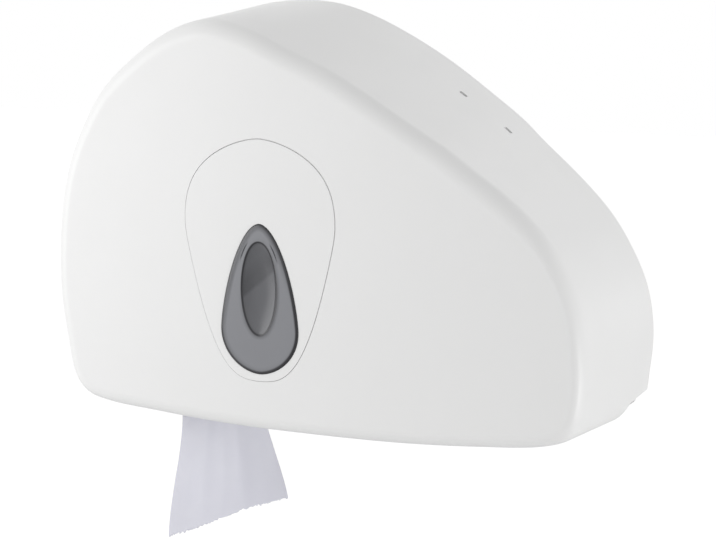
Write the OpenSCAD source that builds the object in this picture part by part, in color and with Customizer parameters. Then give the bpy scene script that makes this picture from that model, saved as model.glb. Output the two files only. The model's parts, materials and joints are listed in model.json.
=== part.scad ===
// Wall-mounted dispenser for jumbo toilet rolls, with a second post for the stub of the last roll.
// X runs to the right, Y into the wall and Z up. The origin is the centre of the four wall
// screws, on the back face of the back plate, so the object lies at y < 0.

/* [Cover] */
// Width of the cover at the wall
cover_w = 452; // [400:1:520]
// Height of the cover, from the bottom edge to the top at the wall
cover_h = 319.5; // [290:0.5:360]
// Depth of the cover, from the wall to its front face
cover_d = 130; // [124:1:160]
// Thickness of the cover's walls
cover_wall = 3; // [2.5:0.1:4]
// Radius of the front edge at the sides and the bottom
edge_r = 11; // [8:0.5:14]
// Radius of the front edge along the top
edge_r_top = 15; // [10:0.5:20]
// How far the rear bottom edge is cut away to clear the hinge
notch_d = 50; // [44:1:60]

/* [Front panel] */
// Half the width of the egg-shaped panel
panel_half_w = 64; // [50:0.5:70]
// Height of the panel above its widest line
panel_up = 70; // [55:1:80]
// Height of the panel below its widest line
panel_down = 114; // [90:1:118]
// Distance of the panel's centre line left of the screws' centre
panel_left = 40; // [20:1:60]
// Height of the panel's widest line
panel_z = 44; // [30:1:60]
// Width of the line round the panel
panel_line = 0.6; // [0.3:0.05:1]
// Thickness of the panel's skin
panel_t = 1.6; // [1.2:0.1:2]
// Width of the seat behind the panel's edge
panel_seat = 5; // [3:0.5:8]

/* [Level window] */
// Half the width of the teardrop window
window_half_w = 33; // [24:0.5:38]
// Height of the window above its widest line
window_up = 80; // [60:1:90]
// Height of the window below its widest line
window_down = 34; // [26:0.5:40]
// Height of the window's widest line
window_z = -30; // [-36:0.5:-20]
// How far the window stands proud of the panel
window_proud = 1; // [0.5:0.1:1.5]
// Half the width of the oval dish in the window
dish_half_w = 14.5; // [10:0.5:18]
// Half the height of the oval dish
dish_half_h = 35; // [28:0.5:40]
// Height of the dish's centre above the window's widest line
dish_up = 31; // [26:0.5:34]
// Depth of the oval dish
dish_d = 1.5; // [0.8:0.1:2]

/* [Jumbo roll] */
// Outer diameter of the full roll
roll_d = 240; // [160:1:244]
// Width of the paper
roll_w = 97; // [85:0.5:98]
// Thickness of the cardboard core
core_t = 2; // [1:0.1:2.4]
// Distance of the roll's centre left of the screws' centre
roll_left = 78; // [60:1:90]
// Height of the roll's centre
roll_z = 60; // [45:1:75]

/* [Posts] */
// Outer diameter of both posts
post_d = 40; // [32:0.5:44]
// Thickness of the posts' wall
post_wall = 3; // [2:0.1:5]
// Outer diameter of the turning sleeves
sleeve_d = 60; // [54:0.5:60]
// Radial running gap between post and sleeve
run_gap = 0.06; // [0.03:0.01:0.1]
// Diameter of the flange that holds a post to the plate
flange_d = 66; // [62:1:68]
// Distance of the stub post right of the screws' centre
stub_right = 140; // [125:1:150]
// Height of the stub post
stub_z = -17; // [-18:1:-8]

/* [Back plate] */
// Thickness of the back plate
plate_t = 3; // [2.5:0.1:4]
// Depth of the rim round the back plate
rim_d = 14; // [8:1:18]
// Gap between the back plate and the inside of the cover
plate_gap = 3; // [2:0.1:5]
// Distance between the wall screws, across
screw_x = 300; // [280:1:310]
// Distance between the wall screws, up and down
screw_z = 120; // [118:1:130]
// Diameter of the holes for the wall screws
screw_hole_d = 6; // [4:0.5:7]

/* [Hinge] */
// Distance of the hinge line from the wall
hinge_y = 24; // [22:0.5:26]
// Height of the hinge line above the cover's lowest edge
hinge_up = 22; // [21:0.5:26]
// Distance between the two hinges
hinge_w = 330; // [300:1:340]
// Diameter of the hinge pins
hinge_pin_d = 5; // [4:0.25:6]

/* [Latch] */
// Distance between the two key slots
slot_pitch = 45; // [36:1:50]
// Length of a key slot
slot_l = 7; // [4:0.5:9]
// Width of a key slot
slot_w = 3.2; // [2:0.1:4]
// Distance of the key slots from the wall
slot_y = 31; // [28:1:34]
// Travel of the latch
latch_travel = 4; // [2:0.5:5]
// Diameter of the latch springs
spring_d = 7; // [5:0.25:8]
// Diameter of the spring wire
spring_wire = 0.9; // [0.5:0.05:1.1]
// Turns in each spring
spring_turns = 6; // [4:1:8]

/* [Paper tail] */
// Thickness of the paper, drawn thicker than real so that it has a solid
paper_t = 0.8; // [0.5:0.1:1.5]
// Length of paper that hangs below the cover's lowest edge, in the middle of its width
tail_drop = 88.5; // [60:0.5:140]

/* [Hidden] */
$fn = 48;
white = [0.93, 0.93, 0.92];
grey = [0.45, 0.46, 0.48];
steel = [0.75, 0.76, 0.78];
tiny = 0.05;      // gap between pieces that sit side by side on one body
clear = 0.4;      // gap between pieces of different bodies
bite = 1;         // how far a cutter runs past what it cuts

// The outline is drawn as [front x, front z, rear x, rear z], and stretched to the cover's size.
// The front curve is where the wall meets the rounded edge.
KNOTS = [
    [0, -108, 0, -108.5], [75, -107.5, 76, -108], [140, -104, 142, -104.5],
    [187, -99, 191, -99.5], [210, -89, 216, -89], [218, -64, 223, -58], [218, -28, 225, -28],
    [213.5, 0, 220, 3], [202.5, 26, 208, 30], [185, 52.5, 191, 56], [160, 76, 167, 81],
    [126, 99.5, 135, 109], [108, 112, 119, 123.7], [88, 123.5, 98, 139.3], [50, 146, 61, 165],
    [15, 165.3, 27, 184.5], [-20, 180, -8, 200.5], [-52, 194, -42, 210], [-88, 201, -80, 211],
    [-121, 192, -118, 204], [-153, 171.5, -158, 181], [-181, 146, -187, 152],
    [-202, 111, -209, 116], [-214, 78, -221, 80], [-220, 35, -227, 35], [-220.5, -10, -227, -10],
    [-215, -50, -221, -52], [-207, -82, -213, -84], [-190, -95.5, -194, -96.5],
    [-135, -102, -137, -102.5], [-70, -106.5, -71, -107]];
steps_per_knot = 4;
drawn_left = min([for (k = KNOTS) k[2]]);
drawn_right = max([for (k = KNOTS) k[2]]);
drawn_top = max([for (k = KNOTS) k[3]]);
drawn_bottom = min([for (k = KNOTS) k[3]]);
stretch = [cover_w / (drawn_right - drawn_left), cover_h / (drawn_top - drawn_bottom)];
front_knots = [for (k = KNOTS) [k[0] * stretch.x, k[1] * stretch.y]];
rear_knots = [for (k = KNOTS) [k[2] * stretch.x, k[3] * stretch.y]];

// A smooth closed curve through knots, with each tangent set by the two neighbours.
function at(list, i) = list[(i + 2 * len(list)) % len(list)];
function tangent(k, i) = (at(k, i + 1) - at(k, i - 1))
    / (norm(at(k, i + 1) - at(k, i)) + norm(at(k, i) - at(k, i - 1)));
function curve_point(k, i, t) = let (l = norm(at(k, i + 1) - at(k, i)))
    (1 + 2 * t) * (1 - t) * (1 - t) * at(k, i) + t * (1 - t) * (1 - t) * l * tangent(k, i)
    + t * t * (3 - 2 * t) * at(k, i + 1) - t * t * (1 - t) * l * tangent(k, i + 1);
function curve(k, n) = [for (i = [0 : len(k) - 1], j = [0 : n - 1]) curve_point(k, i, j / n)];
// The outward normal of a closed curve that runs anticlockwise, and the curve moved inwards.
function normal(c, i) = let (d = at(c, i + 1) - at(c, i - 1)) [d.y, -d.x] / norm(d);
function inset(c, d) = [for (i = [0 : len(c) - 1]) c[i] - d * normal(c, i)];

front_curve = curve(front_knots, steps_per_knot);
rear_curve = curve(rear_knots, steps_per_knot);
ring_n = len(front_curve);
lowest = min([for (p = front_curve) p.y]);
function edge_radius(i) = edge_r + (edge_r_top - edge_r) * max(0, normal(front_curve, i).y);

// The cover's outer wall at ring point i and depth y, straight from the front curve to the rear.
function wall_point(i, y) = let (y0 = edge_radius(i) - cover_d)
    front_curve[i] + (rear_curve[i] - front_curve[i]) * (y - y0) / -y0;
function wall_ring(y, d) = inset([for (i = [0 : ring_n - 1]) wall_point(i, y)], d);

// Where the latch sits on the sloping wall: the ring point, its place and its slope.
latch_ring = 12 * steps_per_knot + 3;
latch_foot = wall_point(latch_ring, -slot_y);
latch_n = normal(wall_ring(-slot_y, 0), latch_ring);
latch_slope = atan2(latch_n.x, latch_n.y);
// How fast the wall falls towards the front there, measured square to the slope.
latch_draft = (wall_point(latch_ring, 0) - wall_point(latch_ring, -slot_y)) * latch_n / slot_y;

hinge_z = lowest + hinge_up;
plate_bottom = lowest + 11;
bottom_y = -notch_d;
steepest = 0.22;  // the most that the wall falls in one unit of depth
rim_inset = cover_wall + plate_gap + steepest * rim_d;

// The egg and the teardrop are each one rule above and one below their widest line.
function half_width(w, s, p, q) = w * pow(max(0, 1 - pow(s, p)), q);
// Heights are spaced by a cosine so that the ends stay round.
function drop(w, up, down, pu, qu, pd, qd, n = 14) = concat(
    [for (j = [0 : n]) let (s = cos(90 * j / n)) [half_width(w, s, pd, qd), -down * s]],
    [for (j = [1 : n]) let (s = sin(90 * j / n)) [half_width(w, s, pu, qu), up * s]],
    [for (j = [n - 1 : -1 : 1]) let (s = sin(90 * j / n)) [-half_width(w, s, pu, qu), up * s]],
    [for (j = [n : -1 : 1]) let (s = cos(90 * j / n)) [-half_width(w, s, pd, qd), -down * s]]);
egg = drop(panel_half_w, panel_up, panel_down, 3.0, 0.63, 0.94, 0.35);
teardrop = drop(window_half_w, window_up, window_down, 1.44, 0.545, 2.07, 0.55);
function oval(w, h, n = 56) = [for (j = [0 : n - 1]) [w * sin(360 * j / n), -h * cos(360 * j / n)]];

// The faces between two rings of n points, whose first points are a and b in the list of points,
// and the faces that close a stack of m rings at its start and its end.
function band(a, b, n) = [for (i = [0 : n - 1]) let (j = (i + 1) % n)
    each [[b + i, a + i, a + j], [b + j, b + i, a + j]]];
function first_cap(n, a = 0) = [[for (i = [n - 1 : -1 : 0]) a + i]];
function last_cap(n, a) = [[for (i = [0 : n - 1]) a + i]];
// Solid through rings of the same number of points, each [outline, y], from front to back.
module skin(rings) {
    n = len(rings[0][0]);
    m = len(rings);
    points = [for (r = rings, p = r[0]) [p.x, r[1], p.y]];
    polyhedron(points, concat(first_cap(n), last_cap(n, (m - 1) * n),
        [for (r = [0 : m - 2]) each band(r * n, (r + 1) * n, n)]));
}
// Extrusion of an outline in the XZ plane, from y0 towards the wall.
module slab(outline, y0, t) {
    translate([0, y0 + t, 0]) rotate([90, 0, 0]) linear_extrude(t) polygon(outline);
}
// Round bar along Y, from y0 towards the wall.
module bar(x, z, d, y0, l) { translate([x, y0 + l, z]) rotate([90, 0, 0]) cylinder(d = d, h = l); }
// Block given by its two corners.
module block(a, b) { translate(a) cube(b - a); }
module at_latch() {
    translate([latch_foot.x, -slot_y, latch_foot.y]) rotate([0, latch_slope, 0]) children();
}
module at_panel() { translate([-panel_left, 0, panel_z]) children(); }
module at_window() { translate([-panel_left, 0, window_z]) children(); }
// A pan-head screw that points towards the wall, with its head's underside at y0.
screw_d = 3.5;
screw_head = 7;
module wallward_screw(x, z, y0, l) {
    difference() {
        union() {
            bar(x, z, screw_d, y0 - tiny, l);
            bar(x, z, screw_head, y0 - 2.2, 2.2);
        }
        for (a = [0, 90]) translate([x, y0 - 1.6, z]) rotate([0, a, 0]) cube([4.4, 1.4, 1], center = true);
    }
}
// The centres of n holes on a circle, the first of them at the angle a0.
function around(x, z, r, n, a0) = [for (j = [0 : n - 1]) let (a = a0 + 360 * j / n)
    [x + r * cos(a), z + r * sin(a)]];

// ---- back plate and what is fixed to it ----
// The posts keep their distance from the cover's ends when its width changes.
roll_x = -roll_left + drawn_left * (stretch.x - 1);
stub_x = stub_right + drawn_right * (stretch.x - 1);
post_seat = -plate_t;
flange_t = 4;
head_sink = 2.4;  // how deep the flange screws' heads sit in the flange
core_d = sleeve_d + 2 * core_t;
post_screw_r = (flange_d + post_d) / 4;
roll_post_holes = around(roll_x, roll_z, post_screw_r, 3, 90);
stub_post_holes = around(stub_x, stub_z, post_screw_r, 3, 90);
rim_t = 3;
boss_t = 2;
lug_w = 6;
lug_d = hinge_pin_d + 9;
arm_w = 14;
pin_l = arm_w + 2 * lug_w + 2 * clear;
housing_w = slot_pitch + 34;
housing_t = 2.5;
ear_t = 3;
ear_z = -18;
housing_screws = [for (s = [-1, 1]) [s * (housing_w / 2 + 6), ear_z]];
function latch_to_xz(p) = [latch_foot.x + p.x * cos(latch_slope) + p.y * sin(latch_slope),
    latch_foot.y - p.x * sin(latch_slope) + p.y * cos(latch_slope)];

module back_plate() {
    color(white) difference() {
        union() {
            intersection() {
                slab(inset(rear_curve, cover_wall + plate_gap), -plate_t, plate_t);
                block([-cover_w, -plate_t, plate_bottom], [cover_w, 0, cover_h]);
            }
            intersection() {
                difference() {
                    slab(inset(rear_curve, rim_inset), -plate_t - rim_d, rim_d);
                    slab(inset(rear_curve, rim_inset + rim_t), -plate_t - rim_d - bite, rim_d + 2 * bite);
                }
                block([-cover_w, -plate_t - rim_d, hinge_z + 40], [cover_w, 0, cover_h]);
                rim_keep();
            }
            for (s = [-1, 1], e = [-1, 1])
                hinge_lug(s * hinge_w / 2 + e * (arm_w / 2 + clear + lug_w / 2));
            for (x = [-1, 1], z = [-1, 1])
                bar(x * screw_x / 2, z * screw_z / 2, screw_hole_d + 8, -plate_t - boss_t, boss_t);
        }
        for (x = [-1, 1] * screw_x / 2, z = [-1, 1] * screw_z / 2)
            bar(x, z, screw_hole_d, -plate_t - boss_t - bite, plate_t + boss_t + 2 * bite);
        for (p = concat(roll_post_holes, stub_post_holes, [for (h = housing_screws) latch_to_xz(h)]))
            bar(p.x, p.y, screw_d, -plate_t - bite, plate_t + 2 * bite);
        translate([0, -hinge_y, hinge_z]) rotate([0, 90, 0])
            cylinder(d = hinge_pin_d, h = cover_w, center = true);
    }
}
// The whole space except the latch housing's place, where the plate has no rim.
module rim_keep() {
    difference() {
        block([-cover_w, -cover_d, -cover_h], [cover_w, bite, cover_h]);
        at_latch() block([-housing_w / 2 - 14, slot_y - plate_t - rim_d - bite, -30],
            [housing_w / 2 + 14, slot_y - plate_t, 20]);
    }
}
// Ear that carries one end of a hinge pin, with its foot on the plate.
module hinge_lug(x) {
    translate([x - lug_w / 2, -hinge_y, hinge_z]) {
        rotate([0, 90, 0]) cylinder(d = lug_d, h = lug_w);
        translate([0, 0, -lug_d / 2 + 2]) cube([lug_w, hinge_y - plate_t, lug_d + 8]);
    }
}
module hinge_pins() {
    color(steel) for (s = [-1, 1]) translate([s * hinge_w / 2, -hinge_y, hinge_z]) rotate([0, 90, 0])
        cylinder(d = hinge_pin_d, h = pin_l, center = true);
}

roll_back = -plate_t - flange_t - 5;
roll_front = roll_back - roll_w;
sleeve_back = -plate_t - flange_t - 1;
sleeve_front = roll_front + 3;
post_end = sleeve_front - 1;
// Hollow post with a screwed flange.
module post(x, z, holes) {
    color(grey) difference() {
        union() {
            bar(x, z, flange_d, post_seat - flange_t, flange_t);
            bar(x, z, post_d, post_end, post_seat - post_end);
        }
        bar(x, z, post_d - 2 * post_wall, post_end - bite, post_seat - post_end + 2 * bite);
        for (p = holes) {
            bar(p.x, p.y, screw_d, post_seat - flange_t - bite, flange_t + 2 * bite);
            bar(p.x, p.y, screw_head + 2 * tiny, post_seat - flange_t - bite, head_sink + bite);
        }
    }
}
module post_screws(holes) {
    y0 = post_seat - flange_t + head_sink;
    color(steel) for (p = holes) wallward_screw(p.x, p.y, y0, -y0 - 0.5);
}
// Cap pressed into the post's mouth: it keeps the sleeve on.
cap_over = 2.5;
module post_cap(x, z) {
    color(grey) {
        bar(x, z, post_d + 2 * cap_over, post_end - 2, 2);
        bar(x, z, post_d - 2 * post_wall - 2 * tiny, post_end - tiny, 8);
    }
}
module roll_post() { post(roll_x, roll_z, roll_post_holes); }
module stub_post() { post(stub_x, stub_z, stub_post_holes); }
module roll_post_screws() { post_screws(roll_post_holes); }
module stub_post_screws() { post_screws(stub_post_holes); }
module roll_post_cap() { post_cap(roll_x, roll_z); }
module stub_post_cap() { post_cap(stub_x, stub_z); }

// ---- turning sleeves and the roll ----
module sleeve(x, z) {
    web = 2.5;
    color(grey) difference() {
        bar(x, z, sleeve_d, sleeve_front, sleeve_back - sleeve_front);
        bar(x, z, post_d + 2 * run_gap, sleeve_front - bite, sleeve_back - sleeve_front + 2 * bite);
        difference() {
            bar(x, z, sleeve_d - 2 * web, sleeve_front - bite, sleeve_back - sleeve_front - web + bite);
            bar(x, z, post_d + 2 * web, sleeve_front - 2 * bite, sleeve_back - sleeve_front + 2 * bite);
            for (a = [0 : 60 : 120]) translate([x, (sleeve_back + sleeve_front) / 2, z]) rotate([0, a, 0])
                cube([sleeve_d, sleeve_back - sleeve_front + 4, 2], center = true);
        }
    }
}
module core_sleeve() { sleeve(roll_x, roll_z); }
module stub_sleeve() { sleeve(stub_x, stub_z); }
module cardboard_core() {
    color([0.62, 0.5, 0.36]) difference() {
        bar(roll_x, roll_z, core_d, roll_front, roll_w);
        bar(roll_x, roll_z, core_d - 2 * core_t, roll_front - bite, roll_w + 2 * bite);
    }
}
module paper_roll() {
    color([0.95, 0.95, 0.96]) difference() {
        bar(roll_x, roll_z, roll_d, roll_front, roll_w);
        bar(roll_x, roll_z, core_d, roll_front - bite, roll_w + 2 * bite);
    }
}

// ---- paper tail ----
// The paper leaves the roll on its left, runs straight to the outlet and hangs from there. It turns
// as it hangs: each row of the sheet is [x, z, turn, fold], the middle of its width, how far it has
// turned from lying along Y, and how deep its folds are.
outlet_x = -112 * stretch.x;
outlet_z = lowest + cover_wall;
tail_y = (roll_front + roll_back) / 2;
roll_to_outlet = [outlet_x - roll_x, outlet_z - roll_z];
roll_r = roll_d / 2 + paper_t;
leave_angle = atan2(roll_to_outlet.y, roll_to_outlet.x) - acos(roll_r / norm(roll_to_outlet));
leave = [roll_x, roll_z] + roll_r * [cos(leave_angle), sin(leave_angle)];
outlet_turn = 10;
tail_turn = 40;
tail_shift = 5;
front_drop = 25;
fold_depth = 1.4;
tail_rows = concat(
    [for (t = [0 : 0.25 : 0.75]) let (p = leave + t * ([outlet_x, outlet_z] - leave))
        [p.x, p.y, outlet_turn * t * t, 0]],
    [for (t = [0 : 0.1 : 1])
        [outlet_x + tail_shift * t, outlet_z - t * (tail_drop + cover_wall),
            outlet_turn + tail_turn * pow(t, 1.6), fold_depth * sin(180 * min(1, 0.25 + 0.6 * t))]]);
tail_cols = 30;
// A point of the sheet, with v from 0 at the front edge to 1 at the rear, moved by off across it.
function sheet_point(r, v, off) = let (
        w = (v - 0.5) * roll_w,
        f = off + r[3] * (sin(360 * (v * 2.4 + 0.1)) * 0.7 + sin(360 * v * 1.3)) * sin(180 * v),
        lower = front_drop * (0.5 - v) * max(0, r[2] - outlet_turn) / tail_turn)
    [r[0] + w * sin(r[2]) + f * cos(r[2]), tail_y + w * cos(r[2]) - f * sin(r[2]), r[1] - lower];
// The sheet as a closed solid: its two sides are grids of points, and four strips join their edges.
module tissue_tail() {
    n = tail_cols + 1;
    m = len(tail_rows);
    side = function (off) [for (r = tail_rows, j = [0 : tail_cols]) sheet_point(r, j / tail_cols, off)];
    quad = function (a, b, c, d) [[a, b, c], [a, c, d]];
    back = m * n;
    last = (m - 1) * n;
    color([0.88, 0.88, 0.94]) polyhedron(concat(side(paper_t / 2), side(-paper_t / 2)), concat(
        [for (i = [0 : m - 2], j = [0 : n - 2], a = [i * n + j])
            each quad(a, a + 1, a + n + 1, a + n)],
        [for (i = [0 : m - 2], j = [0 : n - 2], a = [back + i * n + j])
            each quad(a + n + 1, a + 1, a, a + n)],
        [for (a = [0 : n : last - n]) each quad(a, a + n, back + a + n, back + a)],
        [for (a = [n - 1 : n : last - 1]) each quad(back + a, back + a + n, a + n, a)],
        [for (a = [0 : n - 2]) each quad(a + 1, a, back + a, back + a + 1)],
        [for (a = [last : last + n - 2]) each quad(a, a + 1, back + a + 1, back + a)]));
}

// ---- cover ----
fillet_steps = 5;
// Rings of the cover's outside or inside, from the front face to the wall.
function cover_rings(wall) = concat(
    [for (k = [fillet_steps : -1 : 0]) let (a = 90 * k / fillet_steps)
        [for (i = [0 : ring_n - 1]) let (r = edge_radius(i), n = normal(front_curve, i),
            p = front_curve[i] - n * (wall + (r - wall) * (1 - cos(a))))
            [p.x, r - cover_d - (r - wall) * sin(a), p.y]]],
    [[for (i = [0 : ring_n - 1]) let (p = rear_curve[i] - wall * normal(rear_curve, i)) [p.x, 0, p.y]]]);
module cover_shell() {
    outer = cover_rings(0);
    inner = cover_rings(cover_wall);
    m = len(outer);
    n = ring_n;
    far = m * n;
    polyhedron([for (r = concat(outer, inner), p = r) p], concat(
        first_cap(n), last_cap(n, far), band((m - 1) * n, far + (m - 1) * n, n),
        [for (r = [0 : m - 2]) each band(r * n, (r + 1) * n, n)],
        [for (r = [0 : m - 2]) each band(far + (r + 1) * n, far + r * n, n)]));
}
// The side view of what is cut from the bottom rear corners, as [y, z].
notch = [[bite, hinge_z + 11], [4 - hinge_y, hinge_z + 7], [-hinge_y - 5, hinge_z + 5],
    [-hinge_y - 11, hinge_z - 2], [bottom_y + 8, hinge_z - 11], [bottom_y, lowest + 8],
    [bottom_y, lowest - 5], [bite, lowest - 5]];
// Each outlet is [left, right]. The jumbo roll's tear bar fits between its outlet and the hinge arm.
bar_t = 1.5;
bar_w = 9;
tooth = 3;
jumbo_outlet = [bar_w + 3 + (arm_w - hinge_w) / 2, outlet_x + 40];
stub_outlet_w = 85;
stub_outlet_gap = 10;  // how far left of the stub post's centre its outlet ends
stub_outlet = [stub_x - stub_outlet_gap - stub_outlet_w, stub_x - stub_outlet_gap];
outlet_front = edge_r + 5 - cover_d;
module outlet_cut(o) {
    block([o[0], outlet_front, lowest - 10], [o[1], 0, lowest + 20]);
}
module key_slots(t) {
    at_latch() for (s = [-1, 1]) translate([s * slot_pitch / 2, 0, 0])
        cube([slot_l, slot_w, t], center = true);
}
module front_cover() {
    color(white) difference() {
        cover_shell();
        translate([-cover_w, 0, 0]) rotate([90, 0, 90]) linear_extrude(2 * cover_w) polygon(notch);
        at_panel() slab(egg, -cover_d - bite, panel_t + bite);
        at_panel() slab(inset(egg, panel_seat), -cover_d, cover_wall + bite);
        outlet_cut(jumbo_outlet);
        outlet_cut(stub_outlet);
        key_slots(20);
    }
}
panel_edge = inset(egg, panel_line);
module insert_panel() {
    color(white) difference() {
        union() {
            at_panel() slab(panel_edge, -cover_d, panel_t - tiny);
            at_panel() slab(inset(egg, panel_seat + panel_line), -cover_d, cover_wall - 2 * tiny);
        }
        at_window() slab(teardrop, -cover_d - bite, cover_wall + 2 * bite);
    }
}
lens_gap = 0.15;
lens_flange = 4;
lens_t = 1.5;
lens_back = -cover_d + cover_wall + lens_t;
// How the window's raised edge is rounded: [scale, part of window_proud] for each step.
lens_steps = [[0.9, 1], [0.96, 0.7], [0.985, 0.35]];
module level_window() {
    face = inset(teardrop, lens_gap);
    color([0.4, 0.41, 0.43, 0.6]) difference() {
        at_window() {
            for (s = lens_steps) slab(face * s[0], -cover_d - s[1] * window_proud, window_proud + 1);
            slab(face, -cover_d, cover_wall + 2 * tiny);
            slab(inset(face, -lens_flange), -cover_d + cover_wall + tiny, lens_t - tiny);
        }
        translate([-panel_left, 0, window_z + dish_up]) dish();
    }
}
// The oval dish, cut as a stack of ovals that shrink with depth.
module dish() {
    skin([[oval(dish_half_w + 1, dish_half_h + 1), -cover_d - window_proud - bite],
        [oval(dish_half_w, dish_half_h), -cover_d - window_proud + 0.2],
        [oval(dish_half_w - 1.5, dish_half_h - 2), -cover_d - window_proud + dish_d * 0.8],
        [oval(dish_half_w - 5, dish_half_h - 8), -cover_d - window_proud + dish_d]]);
}
// A frame behind the window, riveted to the panel round the window's flange.
retainer_w = 7;
retainer_back = lens_back + 1.6;
retainer_front = -cover_d + cover_wall + tiny;
rivets = [for (i = [6, 20, 36, 50]) inset(teardrop, -lens_flange - retainer_w / 2)[i]];
module window_retainer() {
    color(white) at_window() difference() {
        slab(inset(teardrop, -lens_flange - retainer_w), retainer_front, retainer_back - retainer_front);
        slab(inset(teardrop, -lens_flange - 2 * tiny), -cover_d, cover_wall + lens_t + tiny);
        slab(inset(teardrop, 2), -cover_d, 20);
        for (p = rivets) bar(p.x, p.y, 2.4, -cover_d, 20);
    }
}
module window_rivets() {
    color(white) at_window() for (p = rivets) {
        bar(p.x, p.y, 2.3, retainer_front, retainer_back + tiny - retainer_front);
        bar(p.x, p.y, 4.4, retainer_back + tiny, 1.2);
    }
}

// ---- hinge arms on the cover ----
arm_screw_d = 2.9;
arm_screw_l = 14;
// The cover's bottom line, and the height of the inside of the cover's floor at x.
floor_line = [for (p = front_curve) if (p.y < lowest + 25 && abs(p.x) < cover_w * 0.44) p];
function floor_z(x) = lookup(x, floor_line) + cover_wall + tiny;
arm_top_z = hinge_z + 5;
arm_foot_y = bottom_y - 26;
arm_screw_ys = [arm_foot_y + 6, arm_foot_y + 17];
module hinge_arms() {
    h = arm_w / 2;
    color(white) for (x = [-1, 1] * hinge_w / 2) translate([x, 0, 0]) difference() {
        union() {
            translate([-h, -hinge_y, hinge_z]) rotate([0, 90, 0]) cylinder(d = hinge_pin_d + 7, h = arm_w);
            block([-h, bottom_y - 4, hinge_z - 3], [h, -hinge_y - 4, arm_top_z]);
            translate([0, bottom_y - 1, 0]) rotate([90, 0, 0]) linear_extrude(bottom_y - 1 - arm_foot_y)
                polygon([[-h, floor_z(x - h)], [h, floor_z(x + h)], [h, arm_top_z], [-h, arm_top_z]]);
        }
        translate([0, -hinge_y, hinge_z]) rotate([0, 90, 0])
            cylinder(d = hinge_pin_d + 2 * run_gap, h = arm_w + 2 * bite, center = true);
        for (y = arm_screw_ys) translate([0, y, lowest]) cylinder(d = arm_screw_d + 2 * tiny, h = 60);
    }
}
module hinge_arm_screws() {
    color(steel) for (s = [-1, 1], y = arm_screw_ys) translate([s * hinge_w / 2, y, arm_top_z]) {
        translate([0, 0, -arm_screw_l]) cylinder(d = arm_screw_d, h = arm_screw_l + 2 * tiny);
        translate([0, 0, tiny]) cylinder(d = 6, h = 2);
    }
}

// ---- latch, in its own frame: x along the slope, z square to it, y into the wall ----
inner_z = -cover_wall;
wall_bow = 0.2;  // how far the sloping wall bows away from the flat catch plate under it
pad_top = inner_z - latch_draft * (slot_w / 2 + 2.5) - clear - 1.4;
slider_top = pad_top - 3;
slider_t = 3;
slider_half = slot_pitch / 2 + 8;
slider_y = [-6, 5];
nose_w = 12;
nose_y = slider_y[0] - 10;
arm_top = slider_top - slider_t;
spring_x = slot_pitch / 2 - 10;
housing_floor = slider_top - slider_t - latch_travel - 7;
// The catch plate lies on the inside of the wall, in front of the nose, and its lip hangs behind the
// nose. The nose ends below the lip, so that the cover opens when nothing presses the latch.
catch_l = 30;
catch_d = 13;
catch_t = 2.5;
nose_l = 2.5;
lip_y = nose_y + nose_l + 1;
catch_mid = nose_y - 1 - catch_d / 2;
lip_tip = inner_z + latch_draft * lip_y - 4;
nose_top = lip_tip - 1.2;
module latch_slider() {
    color(grey) at_latch() {
        block([-slider_half, slider_y[0], slider_top - slider_t], [slider_half, slider_y[1], slider_top]);
        for (s = [-1, 1]) translate([s * slot_pitch / 2, 0, (pad_top + slider_top) / 2])
            cube([slot_l + 3, slot_w + 3, pad_top - slider_top + 2 * tiny], center = true);
        for (s = [-1, 1]) translate([s * spring_x, 0, arm_top - 2])
            cylinder(d = spring_d - 2 * spring_wire - 0.8, h = 2 + tiny);
        block([-nose_w / 2, nose_y, arm_top - 2], [nose_w / 2, slider_y[0] + 4, arm_top + tiny]);
        block([-nose_w / 2, nose_y, arm_top - 2], [nose_w / 2, nose_y + nose_l, nose_top]);
    }
}
module latch_housing() {
    side = slider_half + clear;
    outer = side + housing_t;
    front = slider_y[0] - clear - housing_t;
    back = slider_y[1] + clear + housing_t;
    nose_side = nose_w / 2 + clear;
    seat = slot_y - plate_t;
    ears = housing_w / 2 + 12;
    color(grey) at_latch() difference() {
        union() {
            block([-outer, front, housing_floor - housing_t], [outer, seat, slider_top - 1]);
            block([-ears, seat - ear_t, ear_z - 6], [ears, seat, ear_z + 6]);
        }
        block([-side, slider_y[0] - clear, housing_floor], [side, slider_y[1] + clear, 10]);
        block([-nose_side, front - bite, housing_floor + 2], [nose_side, slider_y[1], 10]);
        block([-side, back, housing_floor], [side, seat - ear_t, 10]);
        for (h = housing_screws) translate([h.x, seat + bite, h.y]) rotate([90, 0, 0])
            cylinder(d = screw_d, h = ear_t + 2 * bite);
    }
}
module latch_housing_screws() {
    color(steel) for (h = housing_screws) let (p = latch_to_xz(h))
        wallward_screw(p.x, p.y, -plate_t - ear_t, ear_t + plate_t - 0.5);
}
// One spring from the housing's floor to the slider: a closed tube of square-cut rings.
spring_h = slider_top - slider_t - housing_floor - 2 * tiny;
module latch_springs() {
    rings_per_turn = 8;
    sides = 6;
    rings = spring_turns * rings_per_turn + 1;
    wire_r = spring_wire / 2;
    r = spring_d / 2 - wire_r;
    rise = (spring_h - spring_wire) / (rings - 1);
    points = [for (i = [0 : rings - 1], j = [0 : sides - 1])
        let (a = 360 * i / rings_per_turn, b = 360 * j / sides, q = r + wire_r * cos(b))
        [q * cos(a), q * sin(a), wire_r + rise * i + wire_r * sin(b)]];
    faces = concat(first_cap(sides), last_cap(sides, (rings - 1) * sides),
        [for (i = [0 : rings - 2]) each band(i * sides, (i + 1) * sides, sides)]);
    color(steel) at_latch() for (s = [-1, 1])
        translate([s * spring_x, 0, housing_floor + tiny]) polyhedron(points, faces);
}

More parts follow.
